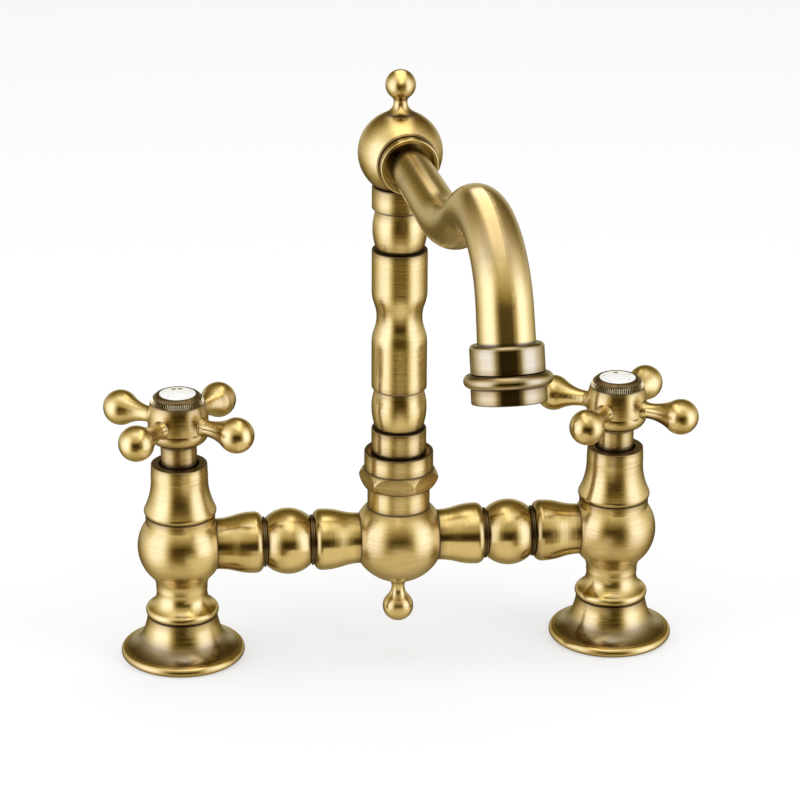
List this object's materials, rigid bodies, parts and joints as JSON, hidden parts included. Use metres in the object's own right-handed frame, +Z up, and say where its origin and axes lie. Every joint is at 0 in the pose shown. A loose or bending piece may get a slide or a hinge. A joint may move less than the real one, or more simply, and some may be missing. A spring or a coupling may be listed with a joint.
{
  "type": "bridge kitchen faucet",
  "caption": "Bridge kitchen faucet: turned pillars on round deck flanges, a beaded bridge, cross handles with porcelain discs, and a swivel column with a swan-neck spout.",
  "frame": {"origin": "on the deck, midway between the two inlets", "axes": "+X along the bridge from the hot inlet to the cold one, +Z up along the column, -Y is the front, where the spout reaches out"},
  "size_m": [0.2673, 0.2321, 0.275],
  "materials": {
    "brass": "brushed antique, clear lacquered",
    "dark_brass": "brushed antique, darkened",
    "plain_brass": "machined",
    "screw_steel": "plain",
    "rubber": "matte black",
    "disc_ceramic": "lapped",
    "porcelain": "glossy white glaze",
    "slip_plastic": "slippery white plastic",
    "aerator_plastic": "moulded"
  },
  "bodies": {
    "base": {"hot_flange": "brass", "hot_foot_seal": "rubber", "hot_pillar": "brass", "hot_seat_seal": "rubber", "hot_cartridge": "plain_brass", "hot_fixed_disc": "disc_ceramic", "hot_shroud": "brass", "hot_bridge_arm": "brass", "cold_flange": "brass", "cold_foot_seal": "rubber", "cold_pillar": "brass", "cold_seat_seal": "rubber", "cold_cartridge": "plain_brass", "cold_fixed_disc": "disc_ceramic", "cold_shroud": "brass", "cold_bridge_arm": "brass", "centre_ball": "brass", "bottom_finial": "brass", "swivel_nut": "brass", "swivel_washer": "slip_plastic"},
    "hot_handle": {"hot_moving_disc": "disc_ceramic", "hot_spindle": "plain_brass", "hot_handle_sleeve": "brass", "hot_handle_hub": "brass", "hot_handle_screw": "screw_steel", "hot_index_ring": "dark_brass", "hot_index_disc": "porcelain", "hot_handle_arm_1": "brass", "hot_handle_arm_2": "brass", "hot_handle_arm_3": "brass", "hot_handle_arm_4": "brass"},
    "cold_handle": {"cold_moving_disc": "disc_ceramic", "cold_spindle": "plain_brass", "cold_handle_sleeve": "brass", "cold_handle_hub": "brass", "cold_handle_screw": "screw_steel", "cold_index_ring": "dark_brass", "cold_index_disc": "porcelain", "cold_handle_arm_1": "brass", "cold_handle_arm_2": "brass", "cold_handle_arm_3": "brass", "cold_handle_arm_4": "brass"},
    "spout": {"swivel_orings": "rubber", "column_tube": "plain_brass", "lower_ferrule": "brass", "lower_bead": "brass", "column_sleeve": "brass", "upper_bead": "brass", "upper_ferrule": "brass", "head_ball": "brass", "top_finial": "brass", "spout_collar": "brass", "spout_tube": "brass", "outlet_collar": "brass", "outlet_ring": "brass", "aerator_housing": "brass", "aerator_insert": "aerator_plastic", "aerator_screen": "screw_steel", "aerator_washer": "rubber"}
  },
  "joints": [
    {"name": "spout_swivel", "type": "hinge", "parent": "base", "child": "spout", "pos_m": [0, 0, 0.0872], "axis": [0, 0, 1], "continuous": true},
    {"name": "hot_handle_turn", "type": "hinge", "parent": "base", "child": "hot_handle", "pos_m": [-0.1, 0, 0.12], "axis": [0, 0, 1], "range_deg": [0, 90]},
    {"name": "cold_handle_turn", "type": "hinge", "parent": "base", "child": "cold_handle", "pos_m": [0.1, 0, 0.12], "axis": [0, 0, 1], "range_deg": [-90, 0]}
  ]
}
